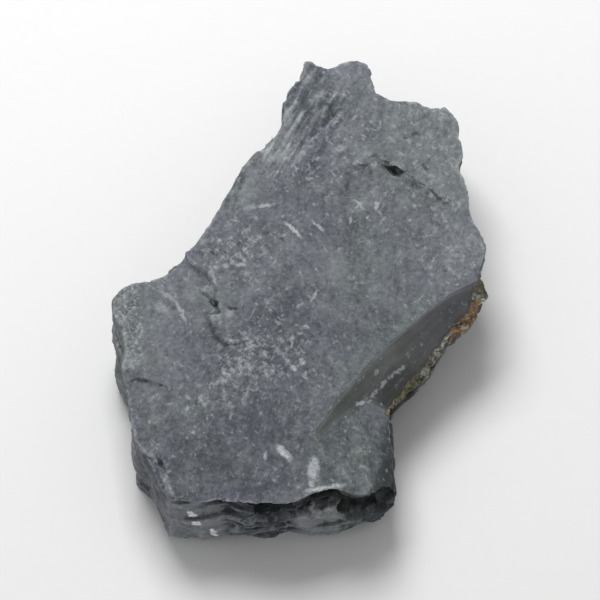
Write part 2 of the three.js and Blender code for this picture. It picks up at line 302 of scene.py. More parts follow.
def new_group(kind, name, inputs, outputs):
    """A node group with its sockets, and the wiring, input and output nodes to fill it with."""
    tree = bpy.data.node_groups.new(name, kind)
    for socket, holds, value in inputs:
        made = tree.interface.new_socket(socket, in_out="INPUT", socket_type="NodeSocket" + holds)
        if value is not None:
            made.default_value = value
    for socket, holds in outputs:
        tree.interface.new_socket(socket, in_out="OUTPUT", socket_type="NodeSocket" + holds)
    w = Wiring(tree)
    return tree, w, w.node("NodeGroupInput").outputs, w.node("NodeGroupOutput").inputs


def new_material(name):
    """A material with its wiring and its shader."""
    material = bpy.data.materials.new(name)
    material.use_nodes = True
    return material, Wiring(material.node_tree), material.node_tree.nodes["Principled BSDF"]


def joint_axes():
    """The joint face's own axes: along its upper edge, out of the face, its middle, and half its length."""
    along = (JOINT_TIP - JOINT_START).normalized()
    outward = Vector((-along.y, along.x, 0.0))
    facing = outward * math.sin(JOINT_SLOPE) + Vector((0.0, 0.0, math.cos(JOINT_SLOPE)))
    half = (JOINT_TIP - JOINT_START).length / 2
    return along, facing, (JOINT_START + JOINT_TIP) / 2, half


def joint_height(x, y):
    """Height of the worn joint face over a plan point."""
    along, facing, middle, half = joint_axes()
    offset = Vector((x, y, middle.z)) - middle
    scoop = JOINT_SCOOP * (1 - (along.dot(offset) / half) ** 2)
    worn = JOINT_WORN * min(max((y - JOINT_WORN_TO) / -JOINT_WORN_TO, 0.0), 1.0)
    return middle.z - (facing.dot(offset) + scoop + worn) / facing.z


def above_joint(w, place):
    """How far a place stands out from the worn joint face, in millimetres."""
    along, facing, middle, half = joint_axes()
    offset = w.vector("SUBTRACT", place, middle)
    reach = w.maths("DIVIDE", w.vector("DOT_PRODUCT", offset, along), half)
    scoop = w.line(w.product(reach, reach), -JOINT_SCOOP, JOINT_SCOOP)
    run = w.line(w.split(place)[1], -1 / JOINT_WORN_TO, 1.0)
    worn = w.product(w.clamped(run), JOINT_WORN)
    return w.total(w.vector("DOT_PRODUCT", offset, facing), scoop, worn)


def above_block(w, place):
    """How far a place stands above the low block's top, in millimetres."""
    across = w.vector("DOT_PRODUCT", w.vector("SUBTRACT", place, JOINT_TIP), (*BLOCK_FALL, 1.0))
    past_bend = w.larger(w.maths("SUBTRACT", w.split(place)[0], BLOCK_BEND), 0.0)
    return w.total(across, w.product(past_bend, BLOCK_TURN_DOWN), JOINT_TOP - BLOCK_TOP)


def on_joint(w, place, up):
    """1 on the joint face, 0 elsewhere. A surface that lies level, where up is 1, is never on it."""
    out = above_joint(w, place)
    near = w.product(w.remap(out, 0.75, 0.45), w.remap(out, -0.6, -0.35))
    tilted = w.remap(up, 0.992, 0.965)
    return w.product(near, tilted, w.remap(above_block(w, place), 0.0, 0.6))


def crest_field(w, position, normal, spread):
    """How far the surface stands out from its own blurred shape, in millimetres: edges plus, cracks minus."""
    offset = w.vector("SUBTRACT", position, w.blurred(position, spread))
    return w.product(w.vector("DOT_PRODUCT", offset, normal), 1 / MM)


def plan_patch(w, place, middle, reach, lean, softness):
    """1 inside a soft-edged oval on the plan, 0 outside."""
    offset = w.vector("SUBTRACT", place, (*middle, 0.0))
    across = w.turned(offset, lean, (1 / reach[0], 1 / reach[1], 0.0))
    return w.remap(w.vector("LENGTH", across), 1.0 + softness, 1.0 - softness)


def layer_noise(w, place, level, thickness, size, shift):
    """Noise that jumps from one layer of the given thickness to the next, and a value per shard in it."""
    x, y = w.split(place)[:2]
    layer = w.maths("FLOOR", w.maths("DIVIDE", level, thickness))
    on_layer = w.joined(x, y, w.line(layer, 31.0, shift))
    shard = w.split(w.cells(on_layer, 0.7 * size)["Color"])[0]
    return w.swing(on_layer, size, detail=3.0, roughness=0.6), shard


def broken_ends(w, place, level, size, flatness):
    """Broken ends of thick layers: each stands back by its own depth and leans back towards its top."""
    x, y = w.split(place)[:2]
    stretched = w.joined(x, y, w.product(level, flatness))
    cells = w.cells(stretched, size)
    depth, lean, turn = w.split(cells["Color"])
    offset = w.vector("SUBTRACT", stretched, cells["Position"])
    across, _, rise = w.split(offset)
    rise = w.product(rise, 1 / flatness)
    slope = w.line(lean, -0.75, -0.1)
    skew = w.line(turn, 0.6, -0.3)
    return w.total(w.product(depth, -1.7), w.product(rise, slope), w.product(across, skew))


# An area on the plan is given by its middle, half widths, lean in degrees and softness, in that order.

# Where the sides are worn smooth, without open layers.
SMOOTH_SIDES = [
    ((-44, -60), (9, 21), -20, 0.35),
    ((-30, -72), (11, 6), 0, 0.35),
    ((6, -69), (7, 5), 0, 0.4),
    ((-52, -22), (6.5, 26), 0, 0.4),
    ((20, -63), (13, 8), 0, 0.4),
]

# Steps of the split face that are worn down to gentle slopes.
WORN_STEPS = [
    ((1, 38), (17, 10), 0, 0.3),
    ((46.5, 19), (7, 6), 0, 0.3),
    ((3, 53), (13, 11), 0, 0.4),
    ((21, 37), (2.4, 4), 90, 0.4),
    ((37, 28.8), (2.4, 5.5), -45, 0.4),
    ((31.4, 32.6), (1.8, 2.6), -52, 0.4),
    ((-49.5, -32), (3.5, 2.4), 0, 0.4),
]

# Edges that stand further out than the measured solid, and how far along X and Y.
FULLER_EDGES = [
    ((15.5, 69), (8, 7.5), 15, 0.5, (1.5, 1.9)),
    ((-5.5, 59), (4.5, 7), 22, 0.5, (-1.3, 0.4)),
    ((42.5, 53), (7, 6), -45, 0.5, (0.8, 0.8)),
]

# The upper part of the joint face's foot, which reaches this much further out than on the measured
# solid. It is drawn out along the slope of the face.
DRAWN_FOOT = ((49.5, -8.7), (4.5, 7.0), 30, 0.5)
DRAWN_OUT = 1.7

# Hollows broken out of the front under the rim: from and to along X, the height of their floor, from and
# to, and how deep they go. Their walls are flat facets, which are wider than they are high.
FRONT_HOLLOWS = [
    (1, 14, 13, 16, 4.8),
    (13, 21, 7, 11, 4.6),
    (20, 26, 8, 12, 2),
    (-14, 0.5, 12, 16, 4.8),
    (-28, 0, 21, 23, 1.2),
]
FACET_WIDTH = 4.2
FACET_FLATNESS = 1.6


def strongest(w, place, patches):
    """The largest of a list of patches."""
    mask = 0.0
    for middle, reach, lean, softness in patches:
        mask = w.larger(mask, plan_patch(w, place, middle, reach, lean, softness))
    return mask


def front_hollows(w, place):
    """How deep the hollows under the front rim go, in millimetres."""
    x, y, z = w.split(place)
    flattened = w.joined(x, 0.0, w.product(z, FACET_FLATNESS))
    ragged = w.wander(flattened, 2.0)
    facets = w.cells(w.strayed(flattened, (ragged, 1.2)), FACET_WIDTH)
    facet_x, _, facet_z = w.split(facets["Position"])
    facet_z = w.product(facet_z, 1 / FACET_FLATNESS)
    chance, lean, turn = w.split(facets["Color"])
    below_rim = above_block(w, w.joined(facet_x, y, facet_z))
    under_rim = w.product(w.remap(below_rim, -0.8, -1.6), w.remap(above_block(w, place), -0.8, -1.3))
    depth = 0.0
    for left, right, floor_low, floor_high, deep in FRONT_HOLLOWS:
        across = w.product(
            w.remap(facet_x, left - 0.5, left + 0.5), w.remap(facet_x, right + 0.5, right - 0.5)
        )
        hollow = w.product(across, w.remap(facet_z, floor_low, floor_high), deep)
        depth = w.larger(depth, hollow)
    tilt = w.total(
        w.product(w.maths("SUBTRACT", z, facet_z), w.line(lean, 0.7, 0.1)),
        w.product(w.maths("SUBTRACT", x, facet_x), w.line(turn, 0.8, -0.4)),
    )
    varied = w.product(depth, w.line(chance, 0.5, 0.7))
    tilted = w.total(varied, w.product(tilt, w.remap(depth, 0.2, 2.0)))
    return w.product(w.larger(tilted, 0.0), under_rim)


# Crumbs have fewer points than this. Fins are thinner than this, and are drawn in.
CRUMB_POINTS = 1000.0
FIN_THICKNESS = 1.0 * MM

# The broken ends of thick layers: how wide they are, and how many times wider than high.
END_WIDTH = 9.5
END_FLATNESS = 2.3

# The split faces are flaked in steps, which are edges of flakes lying on each other: the steps from the
# lowest to the highest, the middle one, and how high each is.
FLAKE_STEPS = 13.0
FLAKE_MIDDLE = 7.0
FLAKE_HEIGHT = 0.13


def geometry_group(name):
    """A geometry node group: its wiring, its two geometry sockets, and its points' positions and normals."""
    sockets = [("Geometry", "Geometry", None)]
    tree, w, given, result = new_group("GeometryNodeTree", name, sockets, [("Geometry", "Geometry")])
    position = w.node("GeometryNodeInputPosition").outputs[0]
    normal = w.node("GeometryNodeInputNormal").outputs[0]
    return tree, w, given["Geometry"], result["Geometry"], position, normal


def relief_group(settings):
    """The fine shape: broken layers on the sides, grain and flakes on the split faces, chipped edges."""
    tree, w, geometry, result, position, normal = geometry_group("Slate Relief")

    def moved(offset, amount):
        inputs = {"Geometry": geometry, "Offset": w.scaled(offset, amount)}
        return w.node("GeometryNodeSetPosition", inputs).outputs[0]

    def to_blurred(spread):
        return w.vector("SUBTRACT", w.blurred(position, spread), position)

    # Crumbs of the fine grid go, and fins thinner than it can hold are drawn in.
    island = w.node("GeometryNodeInputMeshIsland").outputs["Island Index"]
    island_size = w.node("GeometryNodeAccumulateField", {0: 1.0, "Group ID": island}).outputs["Total"]
    crumb = w.maths("LESS_THAN", island_size, CRUMB_POINTS)
    inputs = {"Geometry": geometry, "Selection": crumb}
    geometry = w.node("GeometryNodeDeleteGeometry", inputs).outputs[0]
    inward = w.scaled(normal, -1.0)
    start = w.vector("ADD", position, w.scaled(inward, 0.03 * MM))
    inputs = {"Target Geometry": geometry, "Source Position": start, "Ray Direction": inward}
    inputs["Ray Length"] = FIN_THICKNESS
    hit = w.node("GeometryNodeRaycast", inputs).outputs["Is Hit"]
    geometry = moved(to_blurred(90), w.remap(w.blurred(hit, 3, "FLOAT"), 0.0, 0.4))

    # Edges that stand further out, the joint face drawn out at its foot and cut clean, and worn steps.
    place = w.plan_place(position)
    for middle, reach, lean, softness, (out_x, out_y) in FULLER_EDGES:
        fuller = plan_patch(w, place, middle, reach, lean, softness)
        geometry = moved((out_x * MM, out_y * MM, 0.0), fuller)
    along, facing = joint_axes()[:2]
    down_slope = facing.cross(along) * (DRAWN_OUT * MM / math.cos(JOINT_SLOPE))
    drawn = w.product(plan_patch(w, place, *DRAWN_FOOT), w.remap(w.split(place)[2], 6.0, 16.0))
    geometry = moved(down_slope, drawn)
    proud = above_joint(w, place)
    cut = w.product(w.larger(proud, 0.0), w.remap(proud, 1.6, 1.3))
    cut = w.product(cut, w.remap(above_block(w, place), 1.5, 3.0), w.remap(w.split(normal)[2], 0.3, 0.5))
    geometry = moved(facing, w.product(cut, -MM))
    geometry = moved(to_blurred(30), strongest(w, place, WORN_STEPS))

    z = w.split(place)[2]
    steady = w.vector("NORMALIZE", w.blurred(normal, 4))
    up = w.split(steady)[2]
    side = w.remap(w.maths("ABSOLUTE", up), 0.66, 0.38)
    top = w.remap(up, 0.45, 0.7)
    worn_side = strongest(w, place, SMOOTH_SIDES)

    # The sides: broken ends of thick layers, thin sheets and splinters.
    level = w.total(z, w.product(w.swing(place, 30.0), 3.0), w.product(w.swing(place, 8.0), 0.8))
    ends = broken_ends(w, place, level, END_WIDTH, END_FLATNESS)
    sheet_swing, sheet_shard = layer_noise(w, place, level, settings.sheet / MM, 6.5, 7.0)
    opened = w.remap(w.noise(w.vector("MULTIPLY", place, (1.0, 1.0, 2.0)), 10.0), 0.42, 0.62)
    sheets = w.product(w.total(w.product(sheet_swing, 0.35), w.product(sheet_shard, 0.5), -0.35), opened)
    splinter = w.swing(w.vector("MULTIPLY", place, (1.0, 1.0, 2.0)), 2.4, detail=4.0, roughness=0.65)
    ragged = w.total(ends, sheets, w.product(splinter, 0.4), -0.1)
    ragged = w.maths("MINIMUM", ragged, 0.35)
    ragged = w.product(ragged, w.line(worn_side, -0.9, 1.0), settings.ragged / MM)
    side_relief = w.product(ragged, side)

    # The split faces: flakes, swells, grain and the spur's ribs, and none of it on the joint face.
    rough_patch = w.remap(w.noise(place, 24.0, detail=1.0), 0.38, 0.58)
    contour = w.product(w.noise(place, 16.0, detail=4.0, roughness=0.6, distortion=0.7), FLAKE_STEPS)
    step = w.maths("FLOOR", contour)
    edge = w.remap(w.maths("SUBTRACT", contour, step), 0.0, 0.3)
    flakes = w.product(w.maths("SUBTRACT", w.total(step, edge), FLAKE_MIDDLE), FLAKE_HEIGHT, rough_patch)
    swell = w.product(w.swing(place, 12.0, detail=2.0), 0.55)
    grain = w.product(w.swing(place, 3.2, detail=5.0, roughness=0.7), 0.36)
    ribbed = plan_patch(w, place, SPUR_MIDDLE, (13.0, 21.0), SPUR_LEAN, 0.45)
    ribs = w.swing(w.turned(place, RIB_LEAN, (1.0, 0.11, 1.0)), 3.4, detail=3.0, roughness=0.6)
    spur_lines = w.product(ribs, 2.1, ribbed)
    top_relief = w.total(flakes, swell, grain, spur_lines)
    joint = on_joint(w, place, 0.0)
    calm = w.line(joint, -0.88, 1.0)
    top_relief = w.product(top_relief, top, calm, settings.grain)
    worm = w.product(w.swing(place, 2.2, detail=3.0, distortion=0.5), worn_side, 0.3)

    # Chipped edges, and all of it but the underside moved along the blurred normals.
    crest = crest_field(w, position, normal, 6)
    chip_cells = w.cells(w.strayed(place, (w.noise_colour(place, 2.0), 2.0)), 3.4)
    near_joint = w.remap(w.maths("ABSOLUTE", above_joint(w, place)), 3.0, 1.5)
    chip = w.product(w.remap(w.split(chip_cells["Color"])[0], 0.40, 0.7), w.remap(crest, 0.10, 0.26))
    chip = w.product(chip, w.inverse(near_joint))
    relief = w.total(side_relief, top_relief, worm, w.product(chip, -0.9))
    floor_face = w.product(w.remap(up, -0.5, -0.9), w.remap(z, 1.2, 0.3))
    relief = w.blurred(w.product(relief, w.inverse(floor_face)), 1, "FLOAT")
    facing_front = w.remap(w.split(steady)[1], -0.25, -0.5)
    hollow = w.product(front_hollows(w, place), facing_front, w.remap(up, 0.62, 0.5))
    hollowed = w.joined(0.0, w.blurred(hollow, 1, "FLOAT"), 0.0)
    geometry = moved(w.vector("ADD", w.scaled(steady, relief), hollowed), MM)

    # Single points that stand far out of their surroundings are drawn in, twice.
    draw_in = to_blurred(6)
    spike = w.remap(w.vector("LENGTH", draw_in), 0.55 * MM, 0.9 * MM)
    for _ in range(2):
        geometry = moved(draw_in, spike)
    tree.links.new(geometry, result)
    return tree


def wear_and_shade_group():
    """Stores how far points stand out and how level they lie, which the finish reads for wear and painted
    shade.
    """
    tree, w, geometry, result, position, normal = geometry_group("Slate Wear And Shade")
    fields = {
        "crest": crest_field(w, position, normal, 5),
        "hollow": crest_field(w, position, normal, 30),
        "level": w.split(w.blurred(normal, 2))[2],
    }
    for name, value in fields.items():
        inputs = {"Geometry": geometry, "Name": name, "Value": value}
        store = w.node("GeometryNodeStoreNamedAttribute", inputs, data_type="FLOAT", domain="POINT")
        geometry = store.outputs[0]
    tree.links.new(geometry, result)
    return tree


def patch_group():
    """A soft-edged oval patch on the plan: its place, its half widths, its lean and how soft its edge is."""
    sockets = [
        ("Place", "Vector", None), ("Middle", "Vector", None), ("Reach", "Vector", None),
        ("Lean", "Float", 0.0), ("Edge", "Float", 0.3),
    ]
    tree, w, given, result = new_group("ShaderNodeTree", "Slate Patch", sockets, [("Mask", "Float")])
    offset = w.vector("SUBTRACT", given["Place"], given["Middle"])
    flat = w.vector("MULTIPLY", w.rotated(offset, given["Lean"]), (1.0, 1.0, 0.0))
    distance = w.vector("LENGTH", w.vector("DIVIDE", flat, given["Reach"]))
    mask = w.remap(distance, w.total(given["Edge"], 1.0), w.inverse(given["Edge"]))
    tree.links.new(mask, result["Mask"])
    return tree


def fleck_group():
    """Short mineral flecks, all leaning one way: how far apart, how long, the share that shows, how wide."""
    sockets = [
        ("Place", "Vector", None), ("Lean", "Float", 0.0), ("Apart", "Float", 2.5),
        ("Length", "Float", 2.0), ("Share", "Float", 0.2), ("Width", "Float", 0.15),
    ]
    tree, w, given, result = new_group("ShaderNodeTree", "Slate Flecks", sockets, [("Mask", "Float")])
    squeeze = w.joined(1.0, w.maths("DIVIDE", 1.0, given["Length"]), 1.0)
    squeezed = w.vector("MULTIPLY", w.rotated(given["Place"], given["Lean"]), squeeze)
    inputs = {"Vector": squeezed, "Scale": w.maths("DIVIDE", 1.0, given["Apart"])}
    cells = w.node("ShaderNodeTexVoronoi", inputs).outputs
    red, green, blue = w.split(cells["Color"])
    width = w.product(given["Width"], w.line(green, 0.8, 0.5))
    spot = w.remap(w.maths("DIVIDE", cells["Distance"], width), 1.3, 0.5)
    chosen = w.remap(w.maths("SUBTRACT", given["Share"], red), 0.0, 0.04)
    strength = w.line(blue, 0.7, 0.3)
    tree.links.new(w.product(spot, chosen, strength), result["Mask"])
    return tree


def stretch_group():
    """Distance from a straight stretch between two points."""
    sockets = [("Place", "Vector", None), ("From", "Vector", None), ("To", "Vector", None)]
    tree, w, given, result = new_group("ShaderNodeTree", "Slate Stretch", sockets, [("Distance", "Float")])
    offset = w.vector("SUBTRACT", given["Place"], given["From"])
    stretch = w.vector("SUBTRACT", given["To"], given["From"])
    length_squared = w.vector("DOT_PRODUCT", stretch, stretch)
    run = w.maths("DIVIDE", w.vector("DOT_PRODUCT", offset, stretch), length_squared)
    nearest = w.scaled(stretch, w.clamped(run))
    tree.links.new(w.vector("DISTANCE", offset, nearest), result["Distance"])
    return tree


# Areas that are paler or darker than the rest, and how much tone they add.
TONE_AREAS = [
    ((38, 44), (17, 17), 0, 0.35, 0.15),
    ((44, 14), (12, 26), 8, 0.6, 0.09),
    ((24.5, -21.5), (4.5, 20), 44, 0.6, 0.05),
    ((-50, -12), (5.5, 14), -6, 0.4, -0.05),
    ((-36, -12), (18, 14), 0, 0.7, 0.06),
    ((15.5, 67), (6, 6.5), 15, 0.5, 0.12),
    ((-14.8, 28.3), (2, 7), 8, 0.5, 0.16),
    ((-19, 28.7), (1.4, 6.5), 18, 0.5, -0.24),
    ((13.8, 22), (2, 11), -5, 0.6, -0.17),
    ((14.5, 32), (6, 4), 0, 0.6, -0.06),
    ((17.2, 3), (1.8, 10), 0, 0.6, -0.08),
    ((-6, -28), (24, 20), 0, 0.7, -0.12),
    ((-18, -58), (24, 15), 0, 0.7, -0.15),
    ((16.5, 33.5), (6, 5), 0, 0.6, -0.06),
    ((6, 58), (7, 13), 22, 0.6, -0.07),
    ((-38, -46), (9, 12), 0, 0.7, -0.07),
    ((4, 27), (8, 12), 0, 0.6, -0.05),
    ((15, -58), (11.5, 15), 0, 0.3, -0.12),
    # The row below is painted shade: the block's right edge, which turns down away from the lamp.
    ((26, -58), (3.5, 17), 4, 0.5, -0.38),
    ((-12, 50), (5, 16), 25, 0.5, -0.05),
]

# Greener areas, and how green they are.
GREEN_AREAS = [
    ((14, -57), (12, 15), 0, 0.4, 0.9),
    ((34, 40), (18, 18), 0, 0.5, 0.6),
    ((17, 8), (6, 26), 0, 0.7, 0.6),
    ((-12, 50), (7, 16), 25, 0.5, 0.7),
    ((-48, -14), (7, 16), 0, 0.5, 0.6),
    ((24, -21), (6, 22), 44, 0.6, 0.7),
]

# Areas where the flecks crowd, and how many more there are.
FLECKED_AREAS = [
    ((-16.6, 7.5), (11, 10), 0, 0.6, 0.45),
    ((-9, -26), (14, 11), 30, 0.6, 0.42),
    ((-22, -35), (15, 8), -60, 0.6, 0.30),
    ((0, 37), (14, 7), 0, 0.6, 0.26),
    ((-42, -62), (6, 13), -20, 0.7, 0.24),
    ((-50, -14), (5.5, 17), -6, 0.4, 0.35),
    ((9, 67), (8, 7), 0, 0.7, 0.15),
    ((34, 46), (18, 16), 0, 0.5, 0.22),
    ((42, 8), (9, 22), 0, 0.7, 0.18),
]

# Side faces that are paler or darker than the rest, and how much tone they add.
SIDE_TONE_AREAS = [
    ((-30, -73), (11, 9), 0, 0.35, 0.38),
    ((5, -69), (8, 7), 0, 0.4, 0.46),
    # The row below is painted shade on the undercut front under the block's right half.
    ((20, -64), (8.5, 8), 0, 0.35, -0.26),
    ((-51, -32), (6, 27), 0, 0.4, 0.14),
    ((-44, -60), (9, 18), -20, 0.4, 0.05),
]

# White calcite marks on the split face: middle, half widths, lean in degrees, and how white they are.
CALCITE_MARKS = [
    ((-4.6, -55.9), (1, 2.8), -38, 0.95),
    ((-9.7, -56.6), (0.6, 1.2), 10, 0.8),
    ((3.7, -60.8), (1.5, 3.4), 0, 0.85),
    ((7.2, -66.9), (0.9, 5.4), 79, 0.9),
    ((3.4, -65.6), (0.8, 1.2), 0, 0.7),
    ((-2, 15.3), (0.6, 3), -44, 0.9),
    ((5.2, 16.4), (0.4, 2.4), -47, 0.7),
    ((-9.9, 22.9), (0.7, 2), 85, 0.65),
    ((-18.6, 17.9), (0.6, 0.6), 0, 0.6),
    ((-14.3, 22.1), (0.9, 1.9), 80, 0.35),
    ((3.9, -6.5), (0.4, 2), 32, 0.6),
    ((0, -9.4), (0.5, 1.1), 56, 0.55),
    ((-2.4, -21.2), (0.45, 1.7), 5, 0.6),
    ((1.7, -16.7), (0.5, 0.8), 90, 0.55),
    ((0.3, -18.7), (0.45, 0.9), 60, 0.5),
    ((-37.5, -6), (0.55, 2.5), -62, 0.5),
    ((-34, -10.7), (0.5, 4), -23, 0.55),
    ((-39.5, -9.5), (1.3, 2.2), -50, 0.3),
    ((-21.2, 3), (0.8, 0.8), 0, 0.55),
    ((-16.9, 3.4), (0.7, 1.5), 80, 0.6),
    ((-20.3, -12.4), (1.4, 1.4), 30, 0.3),
    ((0.6, -27.6), (0.8, 0.8), 0, 0.75),
    ((-1.8, -29.8), (1, 0.8), 20, 0.7),
    ((-17, -27.4), (0.8, 0.8), 0, 0.6),
    ((21.1, 36.2), (0.8, 0.9), 0, 0.6),
    ((17, 23.2), (0.3, 1.8), -46, 0.65),
    ((16.9, 23), (0.3, 1.9), 50, 0.6),
    ((21.9, 22.8), (0.55, 1.7), 8, 0.8),
    ((22.8, 20.5), (0.3, 1.4), -30, 0.4),
    ((32.7, 23.2), (0.55, 0.55), 0, 0.65),
    ((14.5, 18.3), (0.35, 1.2), 20, 0.5),
    ((11.6, 42), (0.9, 1.6), 90, 0.45),
    ((12.9, 38.7), (0.5, 0.5), 0, 0.5),
    ((16, 36.8), (0.5, 0.6), 0, 0.5),
    ((37.5, 26.7), (0.5, 0.6), 0, 0.5),
    ((21.7, -29.8), (0.6, 0.9), 20, 0.45),
]

# Two calcite marks on the front side, under the rim: both ends by X and height, and half width.
FRONT_MARKS = [
    ((-30.6, 18.8), (-29.3, 15.8), 1.2),
    ((-25.2, 10), (-23.5, 5.8), 0.75),
]

# Painted shade in hairline cracks, gaps and small gouges on the split face: their run, half width and
# darkness.
# They lie above this height, which has a soft limit.
CRACK_Z = (22.0, 24.0)
CRACKS = [
    ([(24.4, 37), (27, 35.2), (29.6, 33.8)], 0.5, 0.95),
    ([(29.6, 33.8), (33.5, 31), (37.8, 27.9)], 0.2, 0.5),
    ([(20.6, 39), (22.4, 38.5), (24.1, 36.9)], 0.3, 0.6),
    ([(37.8, 27.9), (39.5, 25.7), (41.3, 25.2)], 0.35, 0.7),
    ([(16.8, 36.1), (19.2, 36.1)], 0.3, 0.6),
    ([(20.2, 34.1), (20.4, 33.8)], 0.6, 0.6),
    ([(30.4, 45), (30.9, 45.3)], 0.5, 0.6),
    ([(32.5, 46.2), (33.4, 46.6)], 0.5, 0.6),
    ([(35.3, 36), (36.2, 34.6)], 0.4, 0.6),
    ([(-31.2, 4.4), (-28.6, 2.6), (-26.4, 0.4)], 0.3, 0.45),
    ([(-27.4, -5.5), (-24.9, -8)], 0.45, 0.7),
    ([(-25.2, -8), (-23.9, -9)], 0.8, 1),
    ([(-24, -9.2), (-22.7, -11.6)], 0.45, 0.7),
    ([(-19.9, -10.6), (-18.4, -11.1)], 0.5, 0.85),
    ([(-27.2, -11.3), (-25.2, -16.1), (-23.5, -19.6), (-21.2, -21.2), (-17.8, -21.6)], 0.7, 0.35),
    ([(-25.8, 8), (-23.5, 6.3)], 0.35, 0.7),
    ([(-7.4, -11.2), (-4, -20.9)], 0.35, 0.4),
    ([(-48, -31.9), (-45.1, -31.5), (-41.3, -32.9), (-36, -35.6)], 0.28, 0.5),
    ([(-44.6, -55), (-41.8, -59.3), (-38, -66.6)], 0.45, 0.35),
]

# How far clockwise from +Y the lines on the joint face lean, in degrees.
JOINT_LEAN = 44.0

# Widths of the dark stain and of the crust along the joint face's foot, as soft limits.
STAIN_WIDTH = (4.8, 3.4)
CRUST_WIDTH = (3.7, 2.9)

# Height of the finest bump, which grain, streaks and crust share.
BUMP_HEIGHT = 0.4 * MM

# The thin calcite vein that runs down the joint face.
JOINT_VEIN = [(29.4, -26.4), (24.2, -31.4), (21.4, -34.8), (19.6, -37.8), (16.2, -39.2)]


def slate_material(settings):
    """Dry split slate: blue-grey grain, dust on faces and edges, calcite flecks, iron at the joint's foot."""
    material, w, shader = new_material("Split slate")
    patch = patch_group()
    stretch = stretch_group()
    flecks = fleck_group()
    place = w.plan_place(w.node("ShaderNodeTexCoord").outputs["Object"])
    _, y, z = w.split(place)
    in_front = w.remap(y, *FRONT_Y)
    crest, hollow, level = (
        w.node("ShaderNodeAttribute", attribute_name=name).outputs["Fac"]
        for name in ("crest", "hollow", "level")
    )
    upward = w.remap(level, 0.35, 0.6)
    sideways = w.inverse(upward)
    wander = w.wander(place, 2.0)
    broad_wander = w.wander(place, 9.0)
    fine_wander = w.wander(place, 0.7)
    fleck_place = w.strayed(place, (wander, 0.9), (fine_wander, 0.8))
    soft_place = w.strayed(place, (broad_wander, 5.0))

    def area(where, middle, reach, lean, softness):
        middle = (*middle, 0.0)
        reach = (*reach, 1.0)
        return w.group(patch, Place=where, Middle=middle, Reach=reach, Lean=math.radians(lean), Edge=softness)

    def areas(table):
        """Each area of a table, times the amount that stands last in its row."""
        return [w.product(area(soft_place, *row[:-1]), row[-1]) for row in table]

    def run_of(points, where):
        """Distance from a line of points."""
        nearest = 1000.0
        for start, end in zip(points, points[1:]):
            near = w.group(stretch, Place=where, From=start, To=end)
            nearest = w.maths("MINIMUM", nearest, near)
        return nearest

    def fleck_layer(lean, apart, length, share, width):
        lean = math.radians(lean)
        return w.group(
            flecks, Place=fleck_place, Lean=lean, Apart=apart, Length=length, Share=share, Width=width
        )

    # The slate's own tone, from clean to dusty.
    fine = w.noise(place, 1.2, detail=3.0, roughness=0.7)
    mottle = w.noise(w.turned(place, 10.0, (1.0, 0.7, 1.0)), 3.6, detail=4.0, roughness=0.7)
    cloud = w.noise(place, 24.0, detail=2.0)
    streak = w.noise(w.turned(place, 6.0, (1.0, 0.16, 1.0)), 1.6, detail=3.0, roughness=0.6)
    streaked = area(place, (36.0, 18.0), (22.0, 44.0), 0, 0.5)
    rib = w.noise(w.turned(place, RIB_LEAN, (1.0, 0.09, 1.0)), 2.4, detail=3.0, roughness=0.55)
    ribbed = area(place, SPUR_MIDDLE, (12.0, 21.0), SPUR_LEAN, 0.45)
    grain = w.total(
        w.varied(fine, 0.95),
        w.varied(mottle, 0.85),
        w.varied(cloud, 0.45),
        w.varied(w.noise(place, 9.0, detail=2.0), 0.22),
        w.varied(streak, streaked, 0.35),
        w.varied(rib, ribbed, 2.4),
    )
    tone = w.total(grain, settings.even_tone, *areas(TONE_AREAS))
    tone = w.total(tone, *(w.product(added, sideways) for added in areas(SIDE_TONE_AREAS)))
    near_joint = w.remap(w.maths("ABSOLUTE", above_joint(w, place)), 2.2, 1.0)
    worn = w.product(w.remap(crest, 0.03, 0.20), w.remap(mottle, 0.3, 0.6))
    worn = w.product(worn, w.line(near_joint, -0.8, 1.0))
    tone = w.total(tone, w.product(worn, 0.42))
    colour = w.tint(w.clamped(tone), opaque(settings.body), opaque(settings.dust))
    green_patch = w.product(w.remap(w.noise(place, 13.0, detail=4.0), 0.46, 0.66), 0.5)
    for green in areas(GREEN_AREAS):
        green_patch = w.larger(green_patch, green)
    colour = w.shaded(green_patch, colour, (0.93, 1.0, 0.88))

    # Painted shade between the layers, in hollows, in the hollows under the front rim, below it, and on the
    # right edge.
    # Painted shade in creases between the layers, where the surface lies below its blurred shape.
    painted_crease_shade = w.remap(crest, -0.02, -0.20)
    colour = w.shaded(w.product(painted_crease_shade, 0.6), colour, (0.30, 0.30, 0.31))
    # Painted shade in hollows, darker where they lie deeper.
    sunk = w.remap(hollow, -0.12, -1.0)
    colour = w.shaded(w.product(sunk, 0.7), colour, (0.32, 0.32, 0.32))
    # Painted shade in the hollows under the front rim. Calcite is left out where it lies.
    rim_place = w.strayed(place, (wander, 2.4))
    painted_hollow_shade = w.product(w.remap(front_hollows(w, rim_place), 0.4, 3.4), in_front, w.remap(z, *FRONT_Z))
    colour = w.shaded(w.product(painted_hollow_shade, 0.95), colour, (0.15, 0.15, 0.15))
    # More painted shade where the hollows under the rim lie deepest.
    deep = w.product(w.remap(hollow, -0.5, -1.8), painted_hollow_shade)
    colour = w.shaded(w.product(deep, 0.8), colour, (0.3, 0.3, 0.3))
    # Painted shadow in a band just below the front rim.
    below_rim = above_block(w, rim_place)
    under_rim = w.product(w.remap(below_rim, -1.0, -1.5), w.remap(below_rim, -4.0, -2.6), sideways)
    under_rim = w.product(under_rim, in_front, w.remap(w.split(rim_place)[0], -28.0, -24.0))
    colour = w.shaded(w.product(under_rim, 0.75), colour, (0.25, 0.25, 0.25))
    # Painted shade on the block's right edge, which turns down away from the lamp.
    right_edge = area(soft_place, (26.5, -56.0), (3.6, 17.0), 4, 0.5)
    colour = w.shaded(w.product(right_edge, 0.8), colour, (0.52, 0.53, 0.48))

